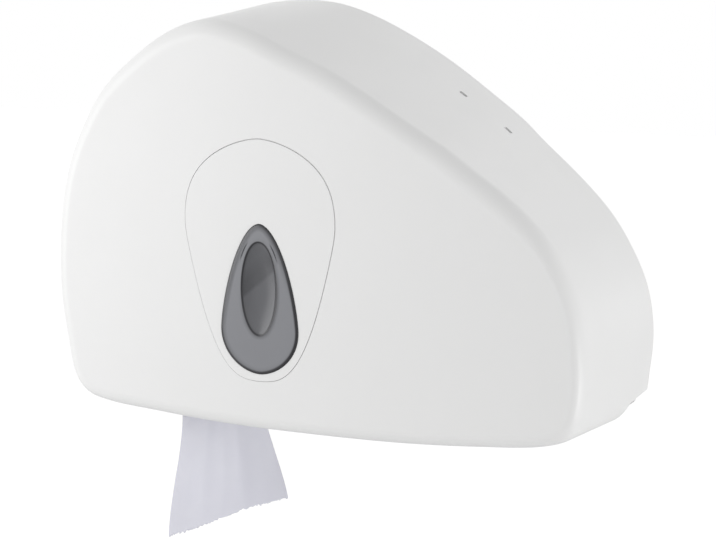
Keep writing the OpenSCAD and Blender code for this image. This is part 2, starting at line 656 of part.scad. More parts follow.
// Plate screwed to the inside of the cover: a strip runs back over the nose and ends in the lip.
catch_screw_xs = [-10.5, 10.5];
lip_t = 1.5;
module at_catch() {
    at_latch() translate([0, catch_mid, inner_z + latch_draft * catch_mid])
        rotate([atan(latch_draft), 0, 0]) translate([0, 0, -wall_bow]) children();
}
module catch_plate() {
    lip_half = nose_w / 2 - 1;
    strip_end = lip_y - catch_mid;
    color(grey) at_catch() difference() {
        union() {
            block([-catch_l / 2, -catch_d / 2, -catch_t], [catch_l / 2, catch_d / 2, 0]);
            block([-lip_half, catch_d / 2 - tiny, -1.2], [lip_half, strip_end + lip_t, 0]);
            block([-lip_half, strip_end, wall_bow - 4], [lip_half, strip_end + lip_t, 0]);
        }
        for (x = catch_screw_xs) translate([x, 0, -catch_t - bite]) cylinder(d = 2.6, h = catch_t + 2 * bite);
    }
}
module catch_screws() {
    color(steel) at_catch() for (x = catch_screw_xs) translate([x, 0, -catch_t]) {
        translate([0, 0, -1.8 - tiny]) cylinder(d = 5, h = 1.8);
        translate([0, 0, -2 * tiny]) cylinder(d = 2.5, h = catch_t);
    }
}

// ---- tear bars along the outlets' left edges ----
bar_rivet_ys = [outlet_front + 10, bottom_y - 10];
// The bar lies on the sloping floor: it is drawn flat with its teeth's roots at x = 0.
module at_bar(x) {
    translate([x, 0, floor_z(x)]) rotate([0, atan((floor_z(x - bar_w) - floor_z(x)) / bar_w), 0]) children();
}
module tear_bar(x) {
    teeth = floor((bottom_y - outlet_front - 4) / tooth);
    color(grey) at_bar(x) difference() {
        translate([-bar_w, outlet_front + 2, 0]) linear_extrude(bar_t) polygon(concat(
            [[0, 0]],
            [for (i = [0 : teeth - 1], h = [0, 1]) [bar_w + 2 * h, (i + h / 2) * tooth]],
            [[bar_w, teeth * tooth], [0, teeth * tooth]]));
        for (y = bar_rivet_ys) translate([-bar_w / 2, y, -bite]) cylinder(d = 2.4, h = bar_t + 2 * bite);
    }
}
module jumbo_tear_bar() { tear_bar(jumbo_outlet[0]); }
module stub_tear_bar() { tear_bar(stub_outlet[0]); }
module tear_bar_rivets() {
    color(steel) for (o = [jumbo_outlet, stub_outlet]) at_bar(o[0])
        for (y = bar_rivet_ys) translate([-bar_w / 2, y, 0]) {
            cylinder(d = 2.3, h = bar_t + tiny);
            translate([0, 0, bar_t + tiny]) cylinder(d = 4.5, h = 1);
        }
}

back_plate();
hinge_pins();
roll_post();
roll_post_screws();
roll_post_cap();
stub_post();
stub_post_screws();
stub_post_cap();
latch_housing();
latch_housing_screws();
tissue_tail();
core_sleeve();
cardboard_core();
paper_roll();
stub_sleeve();
latch_slider();
latch_springs();
front_cover();
insert_panel();
level_window();
window_retainer();
window_rivets();
hinge_arms();
hinge_arm_screws();
catch_plate();
catch_screws();
jumbo_tear_bar();
stub_tear_bar();
tear_bar_rivets();
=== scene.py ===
# %% [markdown]
# # A jumbo toilet roll dispenser, dressed for the camera
#
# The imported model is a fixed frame: its pieces have their real sizes and places, and move on
# their joints. This lesson gives them their looks. The big white cover, the panel in its front,
# the smoke window, the paper and the springs are built again as fine meshes, and every other
# piece keeps its solid and gets a finish.

# %% Load the frame
import json
import math

import bmesh
import bpy
import numpy as np
from mathutils import Matrix, Vector, noise


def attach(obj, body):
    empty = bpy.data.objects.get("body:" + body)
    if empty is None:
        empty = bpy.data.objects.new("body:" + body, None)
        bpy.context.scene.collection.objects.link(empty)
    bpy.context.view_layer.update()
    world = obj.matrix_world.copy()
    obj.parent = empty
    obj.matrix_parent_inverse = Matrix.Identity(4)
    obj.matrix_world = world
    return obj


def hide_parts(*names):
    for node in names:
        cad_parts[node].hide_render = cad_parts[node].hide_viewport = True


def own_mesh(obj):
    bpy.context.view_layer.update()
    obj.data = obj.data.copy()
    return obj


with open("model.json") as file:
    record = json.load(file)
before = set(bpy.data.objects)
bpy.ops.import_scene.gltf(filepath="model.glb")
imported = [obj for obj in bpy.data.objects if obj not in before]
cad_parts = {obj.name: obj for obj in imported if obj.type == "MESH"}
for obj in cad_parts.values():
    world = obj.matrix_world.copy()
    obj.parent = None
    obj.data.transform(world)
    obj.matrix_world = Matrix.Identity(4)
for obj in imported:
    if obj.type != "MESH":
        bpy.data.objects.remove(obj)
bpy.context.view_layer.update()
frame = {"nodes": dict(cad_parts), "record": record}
MM = 0.001

# %% [markdown]
# ## The camera
#
# The photograph was taken from the right and a little above, with a long lens, so that parallel
# edges hardly meet. A camera could be turned by hand until the picture looks right. Here its
# angles, distance and lens are the ones that were worked out from the photograph, so that each
# edge of the cover lands where it does there.

# %% Camera
CAMERA_AZIMUTH = math.radians(26.3)
CAMERA_ELEVATION = math.radians(8.35)
CAMERA_TARGET = Vector((10.14, -65.0, 10.0)) * MM
CAMERA_DISTANCE = 1827.9 * MM
CAMERA_LENS = 120.67

towards_camera = Vector((
    math.sin(CAMERA_AZIMUTH) * math.cos(CAMERA_ELEVATION),
    -math.cos(CAMERA_AZIMUTH) * math.cos(CAMERA_ELEVATION),
    math.sin(CAMERA_ELEVATION),
))
camera_data = bpy.data.cameras.new("camera")
camera_data.lens = CAMERA_LENS
camera_data.sensor_width = 36.0
camera_data.clip_end = 20.0
camera = bpy.data.objects.new("camera", camera_data)
bpy.context.scene.collection.objects.link(camera)
camera.location = CAMERA_TARGET + towards_camera * CAMERA_DISTANCE
camera.rotation_mode = "QUATERNION"
camera.rotation_quaternion = (-towards_camera).to_track_quat("-Z", "Y")
bpy.context.scene.camera = camera
bpy.context.scene.view_settings.view_transform = "Standard"
print("the camera stands at", [round(c / MM) for c in camera.location], "mm")

# %% [markdown]
# ## Shader sums as Python
#
# A finish is easier to read as a sum than as a web of nodes. `Value` wraps the output of a node,
# and `+`, `-` and `*` on it add Math nodes. `Nodes` is the web itself, of a material or of the
# world. Its method `node` adds any other node: its settings go in first, then the values or links
# of its inputs.

# %% Value and Nodes
class Value:
    """The output of a node, which can be used in a sum."""

    def __init__(self, nodes, socket):
        self.nodes = nodes
        self.socket = socket

    def math(self, operation, first, second):
        return self.nodes.node("ShaderNodeMath", {"operation": operation}, {0: first, 1: second})

    def __add__(self, other):
        return self.math("ADD", self, other)

    __radd__ = __add__

    def __sub__(self, other):
        return self.math("SUBTRACT", self, other)

    def __rsub__(self, other):
        return self.math("SUBTRACT", other, self)

    def __mul__(self, other):
        return self.math("MULTIPLY", self, other)

    __rmul__ = __mul__

    def larger(self, other):
        return self.math("MAXIMUM", self, other)


class Nodes:
    """The nodes of a material or of the world."""

    def __init__(self, tree):
        self.tree = tree

    def feed(self, socket, value):
        if isinstance(value, Value):
            self.tree.links.new(value.socket, socket)
        else:
            socket.default_value = value

    def node(self, kind, settings=None, inputs=None, output=0):
        made = self.tree.nodes.new(kind)
        for name, value in (settings or {}).items():
            if name == "stops":
                ramp = made.color_ramp
                while len(ramp.elements) < len(value):
                    ramp.elements.new(1.0)
                for element, (place, shade) in zip(ramp.elements, value):
                    element.position = place
                    element.color = shade
            else:
                setattr(made, name, value)
        for name, value in (inputs or {}).items():
            self.feed(made.inputs[name], value)
        return Value(self, made.outputs[output]) if made.outputs else None


# %% [markdown]
# A finish is one material. Most finishes here need the same few things: clouds of noise, a ramp
# that picks out part of them, a colour between two colours and a bump. Each is a short method, so
# that a finish reads as a list of what it is made of.

# %% Finish
class Finish(Nodes):
    """A material, with its Principled shader's inputs set by name."""

    def __init__(self, name, **inputs):
        self.material = bpy.data.materials.new(name)
        self.material.use_nodes = True
        super().__init__(self.material.node_tree)
        self.shader = self.tree.nodes["Principled BSDF"]
        self.set(**inputs)

    def set(self, **inputs):
        for name, value in inputs.items():
            self.feed(self.shader.inputs[name.replace("_", " ")], value)

    def place(self, scale=(1, 1, 1)):
        """Where a point is on its piece, in metres, stretched by scale."""
        point = self.node("ShaderNodeTexCoord", output="Object")
        return self.node("ShaderNodeMapping", inputs={"Vector": point, "Scale": scale})

    def noise(self, per_metre, detail=3.0, roughness=0.5, stretch=(1, 1, 1)):
        """Cloudy values from 0 to 1, with so many clouds to the metre."""
        inputs = {"Scale": per_metre, "Detail": detail, "Roughness": roughness}
        return self.node("ShaderNodeTexNoise", inputs={"Vector": self.place(stretch), **inputs})

    def ramp(self, value, *stops):
        """A grey value that goes through the stops, each (place, grey)."""
        points = [(place, (grey, grey, grey, 1)) for place, grey in stops]
        return self.node("ShaderNodeValToRGB", {"stops": points}, {"Fac": value})

    def mix(self, share, first, second):
        """A colour between two colours. A Mix node's inputs 6 and 7 and output 2 are colours."""
        inputs = {0: share, 6: first, 7: second}
        return self.node("ShaderNodeMix", {"data_type": "RGBA"}, inputs, output=2)

    def bump(self, height, depth):
        """A normal from heights of 0 to 1, which stand for so many metres."""
        inputs = {"Height": height, "Distance": depth, "Strength": 1.0}
        return self.node("ShaderNodeBump", inputs=inputs)


def colour(red, green=None, blue=None):
    return (red, red if green is None else green, red if blue is None else blue, 1.0)


def tell(finish):
    print(finish.material.name, "has", len(finish.tree.nodes), "nodes")


# %% [markdown]
# ## White plastic
#
# The cover, the panel and the back plate are moulded from glossy white plastic. One flat white
# would do from afar, but plastic like this is never quite even: the mould leaves a faint orange
# peel, and hands leave patches that shine a little less. Two noises give these. Both are kept
# small, because the photograph shows a clean new cover.

# %% White plastic
white_plastic = Finish("white_plastic")
cloud = white_plastic.noise(14, detail=2)
peel = white_plastic.noise(420, detail=2, roughness=0.4)
handled = white_plastic.ramp(white_plastic.noise(38, detail=4), (0.45, 0.0), (0.75, 1.0))
white_plastic.set(
    Base_Color=white_plastic.mix(cloud, colour(0.872, 0.872, 0.868), colour(0.892, 0.892, 0.89)),
    Roughness=0.33 + 0.05 * handled + 0.04 * peel,
    IOR=1.49,
    Normal=white_plastic.bump(peel, 0.00002),
)
tell(white_plastic)

# %% [markdown]
# ## Grey plastic
#
# The posts, the turning sleeves and the latch are moulded in grey with a fine matt grain, which
# hides scratches. The grain could be cut into the mesh, but it is far too fine for that, so small
# noise in the bump gives it, and a second, larger noise rubs it a little smoother in places.

# %% Grey plastic
grey_plastic = Finish("grey_plastic")
grain = grey_plastic.noise(2600, detail=2)
rubbed = grey_plastic.noise(45, detail=3)
grey_plastic.set(
    Base_Color=grey_plastic.mix(rubbed, colour(0.14, 0.145, 0.155), colour(0.18, 0.185, 0.195)),
    Roughness=0.42 + 0.18 * grain + 0.1 * rubbed,
    Normal=grey_plastic.bump(grain, 0.00006),
)
tell(grey_plastic)

# %% [markdown]
# ## Steel
#
# The tear bars and the catch are brushed sheet steel. A brush leaves long thin lines, which the
# shader's own anisotropy can only hint at, so the noise itself is stretched into lines. Screws,
# pins and springs are plated, with small spots that differ in shine.

# %% Brushed and plated steel
brushed_steel = Finish("brushed_steel", Metallic=1.0)
brush = brushed_steel.noise(900, detail=3, stretch=(1.0, 0.04, 1.0))
brushed_steel.set(
    Base_Color=brushed_steel.mix(brush, colour(0.5, 0.51, 0.52), colour(0.66, 0.665, 0.67)),
    Roughness=0.24 + 0.2 * brush,
    Normal=brushed_steel.bump(brush, 0.00003),
)
plated_steel = Finish("plated_steel", Metallic=1.0)
spots = plated_steel.noise(700, detail=3)
plated_steel.set(
    Base_Color=plated_steel.mix(spots, colour(0.56, 0.57, 0.58), colour(0.7, 0.71, 0.72)),
    Roughness=0.2 + 0.22 * spots,
    Normal=plated_steel.bump(spots, 0.00001),
)
tell(brushed_steel)
tell(plated_steel)

# %% [markdown]
# ## Tissue
#
# Tissue is creped: it has fine ridges across its length, and loose fibres. It looks soft, so it
# gets a sheen, and the hanging sheet lets a little light through. The paper on the roll is the
# same tissue, a little warmer, so one function makes both, with the crepe stretched the way that
# each of them lies.

# %% Tissue
def tissue_finish(name, low, high, crepe_stretch):
    made = Finish(name, Roughness=0.92, Sheen_Weight=0.25, Sheen_Roughness=0.6)
    crepe = made.noise(900, detail=3, stretch=crepe_stretch)
    fibres = made.noise(2200, detail=2, roughness=0.7)
    patches = made.noise(60, detail=3)
    made.set(
        Base_Color=made.mix(0.6 * patches + 0.4 * fibres, low, high),
        Normal=made.bump(0.7 * crepe + 0.3 * fibres, 0.00012),
    )
    tell(made)
    return made


tissue = tissue_finish("tissue", colour(0.82, 0.82, 0.94), colour(0.9, 0.9, 1.0), (0.25, 0.25, 1.0))
tissue.set(Subsurface_Weight=0.25, Subsurface_Radius=(0.004, 0.004, 0.004), Subsurface_Scale=1.0)
roll_side = tissue_finish(
    "roll_paper", colour(0.8, 0.8, 0.84), colour(0.88, 0.88, 0.91), (1.0, 0.25, 1.0)
)

# %% [markdown]
# ## Cardboard
#
# The roll's core is grey-brown cardboard, of which only the end shows. A plain brown would look
# like wood or plastic. Pulp is uneven and has darker and paler specks, so one noise gives the
# pulp, and a ramp picks the specks out of a finer one.

# %% Cardboard
cardboard = Finish("cardboard", Roughness=0.88)
pulp = cardboard.noise(500, detail=4, stretch=(1.0, 0.3, 1.0))
specks = cardboard.ramp(cardboard.noise(1400, detail=2), (0.62, 0.0), (0.72, 1.0))
pulp_and_specks = 0.8 * pulp + 0.2 * specks
cardboard.set(
    Base_Color=cardboard.mix(pulp_and_specks, colour(0.3, 0.22, 0.14), colour(0.5, 0.4, 0.28)),
    Normal=cardboard.bump(pulp, 0.0001),
)
tell(cardboard)

# %% [markdown]
# ## Smoke plastic
#
# The window is clear smoke-tinted plastic, polished smooth. Where light runs through more of
# it, at its rim and where the dish begins, it looks nearly black. Real refraction would show the
# roll behind it, which the photograph doesn't, so the window is opaque here and that darkness is
# painted shade: each point of its mesh carries a number, `depth`, which is how much painted shade
# it gets, and the colour follows that.

# %% Smoke plastic
smoke = Finish("smoke_plastic_and_painted_shade", Roughness=0.22, IOR=1.45)
# depth is painted shade: at 0 the window keeps its smoke colour, at 1 it is painted nearly black.
depth = smoke.node("ShaderNodeAttribute", {"attribute_name": "depth"}, output="Fac")
haze = smoke.noise(30, detail=2)
tint_and_painted_shade = smoke.mix(depth, colour(0.268, 0.272, 0.291), colour(0.02, 0.02, 0.023))
smoke.set(Base_Color=smoke.mix(0.1 * haze, tint_and_painted_shade, colour(0.16, 0.162, 0.175)))
tell(smoke)

# %% [markdown]
# ## Helpers for meshes
#
# A piece could be modelled by hand and saved, but a script has to make its own points. Nearly
# every piece here is a stack of outlines: rings of points that are joined one to the next, with
# the first and the last closed. Sizes are in millimetres in the frame's own axes, and the mesh
# is made in metres.

# %% Make a piece from points and faces
def dress(thing, finish):
    thing.data.materials.clear()
    thing.data.materials.append(finish.material)


def piece(name, points, faces, body=None, finish=None, slot=None, *nodes):
    """A mesh in millimetres, which rides on a body and stands for some CAD nodes."""
    mesh = bpy.data.meshes.new(name)
    mesh.from_pydata([tuple(float(c) * MM for c in p) for p in points], [], faces)
    shaped = bmesh.new()
    shaped.from_mesh(mesh)
    bmesh.ops.recalc_face_normals(shaped, faces=shaped.faces)
    shaped.to_mesh(mesh)
    shaped.free()
    made = bpy.data.objects.new(name, mesh)
    bpy.context.scene.collection.objects.link(made)
    if body:
        dress(made, finish)
        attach(made, body)
        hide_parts(*nodes)
        print(name, "has", len(mesh.polygons), "faces")
    return made


# %% Join rings of points
def ring_faces(first, second, count):
    """Faces between two rings of points, which start at first and second in the list."""
    pairs = [(i, (i + 1) % count) for i in range(count)]
    return [(first + i, first + j, second + j, second + i) for i, j in pairs]


def stack(rings, closed=True):
    """Points and faces of rings joined in order, with both ends closed."""
    count = len(rings[0])
    points = [p for ring in rings for p in ring]
    faces = []
    for i in range(len(rings) - 1):
        faces += ring_faces(i * count, (i + 1) * count, count)
    if closed:
        faces += [tuple(range(count)), tuple(range(len(points) - count, len(points)))]
    return points, faces


def at_depth(outline, y):
    """An outline of [x, z] as points at one depth."""
    return [(x, y, z) for x, z in outline]


# %% [markdown]
# Holes are cut with Boolean modifiers, and a tiny bevel then breaks each sharp edge, as a mould
# does, so that it catches some light. Both are applied at once, so that the piece that is kept is
# plain mesh. Weighted normals keep the large faces flat to the eye beside the small bevels.

# %% Cut, round and settle
def settle(thing):
    """Turns what the modifiers make into the mesh itself."""
    bpy.context.view_layer.update()
    graph = bpy.context.evaluated_depsgraph_get()
    made = bpy.data.meshes.new_from_object(thing.evaluated_get(graph), depsgraph=graph)
    thing.modifiers.clear()
    thing.data = made


def cut(thing, cutters):
    """Takes the cutters out of the mesh and deletes them."""
    for cutter in cutters:
        hole = thing.modifiers.new("hole", "BOOLEAN")
        hole.operation = "DIFFERENCE"
        hole.solver = "EXACT"
        hole.object = cutter
    settle(thing)
    for cutter in cutters:
        bpy.data.objects.remove(cutter)


def shade(thing, sharp_from):
    """Shades a mesh smooth, but for the edges that turn by more than so many degrees."""
    thing.data.shade_smooth()
    thing.data.set_sharp_from_angle(angle=math.radians(sharp_from))


def soften(thing, width, angle=40):
    """Rounds the sharp edges a little and shades the rest smooth."""
    rounding = thing.modifiers.new("rounding", "BEVEL")
    rounding.width = width * MM
    rounding.segments = 2
    rounding.limit_method = "ANGLE"
    rounding.angle_limit = math.radians(angle)
    rounding.harden_normals = False
    settle(thing)
    shade(thing, 35)
    weights = thing.modifiers.new("weights", "WEIGHTED_NORMAL")
    weights.keep_sharp = True
    settle(thing)


# %% Shapes to cut with
def cutter_of(rings):
    points, faces = stack(rings)
    return piece("cutter", points, faces)


def prism(outline, start, end):
    """A cutter: an outline of [x, z] drawn from depth start to depth end."""
    return cutter_of([at_depth(outline, start), at_depth(outline, end)])


def rectangle(left, bottom, right, top):
    return [(left, bottom), (right, bottom), (right, top), (left, top)]


# %% [markdown]
# ## The cover's two curves
#
# The cover has one outline at the front, where its wall meets the rounded edge, and a larger one
# at the wall behind it. They could be drawn as Blender curves, but then the rings between them
# would be hard to control. Both go through the same few listed points as the solid does, each
# `(front x, front z, rear x, rear z)`, so that the mesh lies where the solid lies. A curve
# through so few points is stiff where two stretches meet, so it is relaxed a little.

# %% Points of the outline
COVER_DEPTH = 130.0
COVER_WALL = 3.0
OUTLINE = [
    (0, -108, 0, -108.5), (75, -107.5, 76, -108), (140, -104, 142, -104.5),
    (187, -99, 191, -99.5), (210, -89, 216, -89), (218, -64, 223, -58),
    (218, -28, 225, -28), (213.5, 0, 220, 3), (202.5, 26, 208, 30),
    (185, 52.5, 191, 56), (160, 76, 167, 81), (126, 99.5, 135, 109),
    (108, 112, 119, 123.7), (88, 123.5, 98, 139.3), (50, 146, 61, 165),
    (15, 165.3, 27, 184.5), (-20, 180, -8, 200.5), (-52, 194, -42, 210),
    (-88, 201, -80, 211), (-121, 192, -118, 204), (-153, 171.5, -158, 181),
    (-181, 146, -187, 152), (-202, 111, -209, 116), (-214, 78, -221, 80),
    (-220, 35, -227, 35), (-220.5, -10, -227, -10), (-215, -50, -221, -52),
    (-207, -82, -213, -84), (-190, -95.5, -194, -96.5), (-135, -102, -137, -102.5),
    (-70, -106.5, -71, -107),
]
print("the cover's outline is set by", len(OUTLINE), "points")

# %% Curves through the points
STEPS = 12
RELAXED = 4


def relaxed(loop, times):
    """Evens out the points or numbers of a closed loop, each with its two neighbours."""
    for _ in range(times):
        loop = (np.roll(loop, 1, axis=0) + 2 * loop + np.roll(loop, -1, axis=0)) / 4
    return loop


def loop_through(knots):
    """A closed curve through the knots, with each tangent set by the two neighbours."""
    here = np.array(knots, float)[:, None, :]
    after = np.roll(here, -1, axis=0)
    before = np.roll(here, 1, axis=0)
    span = np.linalg.norm(after - here, axis=2, keepdims=True)
    tangent = (after - before) / (span + np.roll(span, 1, axis=0))
    t = (np.arange(STEPS) / STEPS)[None, :, None]
    curve = (1 + 2 * t) * (1 - t) ** 2 * here + t * (1 - t) ** 2 * span * tangent
    curve = curve + t * t * (3 - 2 * t) * after
    curve = curve - t * t * (1 - t) * span * np.roll(tangent, -1, axis=0)
    return relaxed(curve.reshape(-1, 2), RELAXED)


def outward(curve):
    """The outward normals of a closed curve that runs anticlockwise."""
    along = np.roll(curve, -1, axis=0) - np.roll(curve, 1, axis=0)
    across = np.stack([along[:, 1], -along[:, 0]], axis=1)
    return across / np.linalg.norm(across, axis=1, keepdims=True)


front_curve = loop_through([(k[0], k[1]) for k in OUTLINE])
rear_curve = loop_through([(k[2], k[3]) for k in OUTLINE])
front_normal = outward(front_curve)
lowest = front_curve[:, 1].min()
print("the front curve has", len(front_curve), "points and reaches down to", round(lowest, 1), "mm")

# %% [markdown]
# ## The front edge
#
# Light shows how an edge is rounded. Along the slope the photograph has an even dark band, as on
# a quarter circle whose radius grows towards the top. On the right it has a thin dark line and
# then a pale bulge, which a quarter of an oval gives: it turns fast at the front and slowly
# behind. A bevel modifier can't change from one to the other, so each point of the outline has
# two sizes of its own, how far in and how far back its round goes.

# %% Rounding of the front edge
EDGE_RADIUS = 11.0
EDGE_RADIUS_TOP = 15.0
RIGHT_EDGE_IN = 9.5
RIGHT_EDGE_BACK = 16.0
RIGHT_FROM, RIGHT_TO = 0.6, 0.9
RIGHT_RELAXED = 20

faces_right = (front_normal[:, 0] - RIGHT_FROM) / (RIGHT_TO - RIGHT_FROM)
right_side = relaxed(np.clip(faces_right, 0, 1), RIGHT_RELAXED)
faces_up = np.maximum(0, front_normal[:, 1])
edge_radius = EDGE_RADIUS + (EDGE_RADIUS_TOP - EDGE_RADIUS) * faces_up
edge_in = edge_radius + (RIGHT_EDGE_IN - edge_radius) * right_side
edge_back = edge_radius + (RIGHT_EDGE_BACK - edge_radius) * right_side
print("the edge goes back by", round(edge_back.min(), 1), "to", round(edge_back.max(), 1), "mm")

# %% [markdown]
# ## The cover
#
# The cover is one moulded shell, open at the back. It could be a solid with a Solidify modifier,
# but that modifier pinches where the curve turns fast. So the shell is a stack of rings: the round
# of the front edge, then the wall that widens towards the rear, and the same again 3 mm further
# in.

# %% Rings of the cover
EDGE_STEPS = 12
WALL_STEPS = 6


def cover_rings(wall):
    """The rings from front to rear, on a surface that lies wall inside the outer one."""
    rings = []
    for step in range(EDGE_STEPS, -1, -1):
        angle = math.pi / 2 * step / EDGE_STEPS
        inwards = wall + (edge_in - wall) * (1 - math.cos(angle))
        spot = front_curve - front_normal * inwards[:, None]
        y = edge_back - COVER_DEPTH - (edge_back - wall) * math.sin(angle)
        rings.append([(x, d, z) for (x, z), d in zip(spot, y)])
    start = np.array(rings[-1])
    end_curve = rear_curve - outward(rear_curve) * wall
    end = np.array([(x, 0.0, z) for x, z in end_curve])
    for step in range(1, WALL_STEPS + 1):
        share = step / WALL_STEPS
        rings.append([tuple(p) for p in start + (end - start) * share])
    return rings


outer_rings = cover_rings(0.0)
inner_rings = cover_rings(COVER_WALL)
shell_points, shell_faces = stack(outer_rings + inner_rings[::-1])
print("the shell is a stack of", len(outer_rings) + len(inner_rings), "rings")

# %% [markdown]
# ## Egg and teardrop
#
# The panel in the front is egg-shaped and the window in it is a teardrop. Each could go through
# listed points, as the cover does, but the eye sees the slightest wobble in so small a line.
# So each follows one simple rule above its widest line and one below it: the half width is
# `(1 - s ** p) ** q` of the widest, where `s` goes from 0 at the widest line to 1 at the end.

# %% Outlines of the panel and the window
PANEL_X = -40.0
PANEL_Z = 44.0
PANEL_HALF_W, PANEL_UP, PANEL_DOWN = 64, 70, 114
PANEL_RULE_UP, PANEL_RULE_DOWN = (3.0, 0.63), (0.94, 0.35)
PANEL_RELAXED = 14
WINDOW_Z = -30.0
WINDOW_HALF_W, WINDOW_UP, WINDOW_DOWN = 33, 80, 34
WINDOW_RULE_UP, WINDOW_RULE_DOWN = (1.44, 0.545), (2.07, 0.55)
DROP_STEPS = 96


def drop_outline(half_width, up, down, rule_up, rule_down):
    """A closed outline of [x, z] about its widest line."""
    right = []
    for i in range(DROP_STEPS + 1):
        turn = math.pi * (i / DROP_STEPS - 0.5)
        height = math.sin(turn)
        p, q = rule_up if height > 0 else rule_down
        width = half_width * max(0.0, 1 - abs(height) ** p) ** q
        right.append((width, height * (up if height > 0 else down)))
    left = [(-x, z) for x, z in right[-2:0:-1]]
    return np.array(right + left)


def moved(outline, x, z):
    return np.asarray(outline) + np.array([x, z])


def grown(outline, by):
    return outline + outward(outline) * by


egg = drop_outline(PANEL_HALF_W, PANEL_UP, PANEL_DOWN, PANEL_RULE_UP, PANEL_RULE_DOWN)
egg = moved(relaxed(egg, PANEL_RELAXED), PANEL_X, PANEL_Z)
teardrop = drop_outline(WINDOW_HALF_W, WINDOW_UP, WINDOW_DOWN, WINDOW_RULE_UP, WINDOW_RULE_DOWN)
teardrop = moved(teardrop, PANEL_X, WINDOW_Z)
print("the window is", 2 * WINDOW_HALF_W, "by", WINDOW_UP + WINDOW_DOWN, "mm")

# %% [markdown]
# ## The latch's place
#
# Two slots in the sloping wall take the key that opens the latch below them. The slope leans, so
# the slots and the latch are drawn in a frame of their own, with one axis along the slope and one
# square to it. It could be turned by hand, but it is worked out from the two curves, so that it
# stays on the wall.

# %% Frame of the latch and its key slots
SLOT_FROM_WALL = 31.0
SLOT_PITCH = 45.0
SLOT_SIZE = (7.0, 3.2, 20.0)
SLOT_CORNER = 0.7
LATCH_KNOT = 12.75


def latch_place():
    """The latch's frame: x along the slope, z square to it and y into the wall."""
    ring = round(LATCH_KNOT * STEPS)
    start = edge_radius - COVER_DEPTH
    share = ((-SLOT_FROM_WALL - start) / -start)[:, None]
    wall_curve = front_curve + (rear_curve - front_curve) * share
    foot = wall_curve[ring]
    side = outward(wall_curve)[ring]
    slope = math.atan2(side[0], side[1])
    return Matrix.Translation((foot[0], -SLOT_FROM_WALL, foot[1])) @ Matrix.Rotation(slope, 4, "Y")


def slot_cutter(side):
    """A block that cuts one key slot, with round corners."""
    place = latch_place()
    half_l, half_w, height = SLOT_SIZE[0] / 2, SLOT_SIZE[1] / 2, SLOT_SIZE[2] / 2
    loop = []
    for cx, cy, start in ((1, 1, 0), (-1, 1, 90), (-1, -1, 180), (1, -1, 270)):
        for turn in (0, 30, 60, 90):
            angle = math.radians(start + turn)
            x = cx * (half_l - SLOT_CORNER) + SLOT_CORNER * math.cos(angle)
            y = cy * (half_w - SLOT_CORNER) + SLOT_CORNER * math.sin(angle)
            loop.append((x + side * SLOT_PITCH / 2, y))
    return cutter_of([[place @ Vector((x, y, z)) for x, y in loop] for z in (-height, height)])


print("the latch is at", [round(c) for c in latch_place().translation], "mm")

# %% [markdown]
# ## The holes in the cover
#
# The recess for the panel, the two paper outlets, the two key slots and the rear bottom corners
# that clear the hinge are all cut out of the shell. They could be left out of its rings instead,
# but then each ring would need its own gaps, and a cut is as easy to change as one number.

# %% Cut the cover
PANEL_THICKNESS = 1.6
PANEL_SEAT = 5.0
HINGE_UP = 22.0
HINGE_FROM_WALL = 24.0
NOTCH_DEPTH = 50.0
OUTLET_FRONT = -114.0
JUMBO_OUTLET = (-146.0, -72.0)
STUB_OUTLET = (45.0, 130.0)
OUTLET_BELOW, OUTLET_ABOVE = 10, 20
NOTCH_HALF_W = 300
BEYOND = 5
EDGE_BREAK = 0.25

hinge_z = lowest + HINGE_UP
notch_side = [
    (2, hinge_z + 11), (4 - HINGE_FROM_WALL, hinge_z + 7),
    (-HINGE_FROM_WALL - 5, hinge_z + 5), (-HINGE_FROM_WALL - 11, hinge_z - 2),
    (8 - NOTCH_DEPTH, hinge_z - 11), (-NOTCH_DEPTH, lowest + 8),
    (-NOTCH_DEPTH, lowest - 6), (2, lowest - 6),
]


def outlet_cutter(left, right):
    opening = rectangle(left, lowest - OUTLET_BELOW, right, lowest + OUTLET_ABOVE)
    return prism(opening, OUTLET_FRONT, 1)


cover = piece(
    "cover_shell", shell_points, shell_faces, "cover", white_plastic, "white_plastic", "front_cover"
)
cut(cover, [
    cutter_of([[(x, y, z) for y, z in notch_side] for x in (-NOTCH_HALF_W, NOTCH_HALF_W)]),
    prism(egg, -COVER_DEPTH - BEYOND, -COVER_DEPTH + PANEL_THICKNESS),
    prism(grown(egg, -PANEL_SEAT), -COVER_DEPTH - BEYOND - 1, -COVER_DEPTH + COVER_WALL + 2),
    outlet_cutter(*JUMBO_OUTLET),
    outlet_cutter(*STUB_OUTLET),
    slot_cutter(-1),
    slot_cutter(1),
])
soften(cover, EDGE_BREAK)
print("the cut cover has", len(cover.data.polygons), "faces")

# %% [markdown]
# ## The panel
#
# The egg-shaped panel is a separate moulding that snaps into its recess. A dark line in the
# cover's finish could stand for it, but the photograph shows a real gap: a hairline, wider at the
# top and right, because the panel sits a little low and to the left. So it is its own stack of
# rings. Its edge is rounded very slightly, and the window's hole goes through it.

# %% Panel
PANEL_GAP = 0.42
PANEL_SHIFT = (-0.26, -0.24)
PANEL_EDGE = [(0.35, 0.0), (0.12, 0.08), (0.0, 0.35)]
PANEL_BACK = -COVER_DEPTH + PANEL_THICKNESS - 0.05
PLUG_GAP = 0.6
PLUG_BACK = -COVER_DEPTH + COVER_WALL - 0.1
PANEL_EDGE_BREAK = 0.2

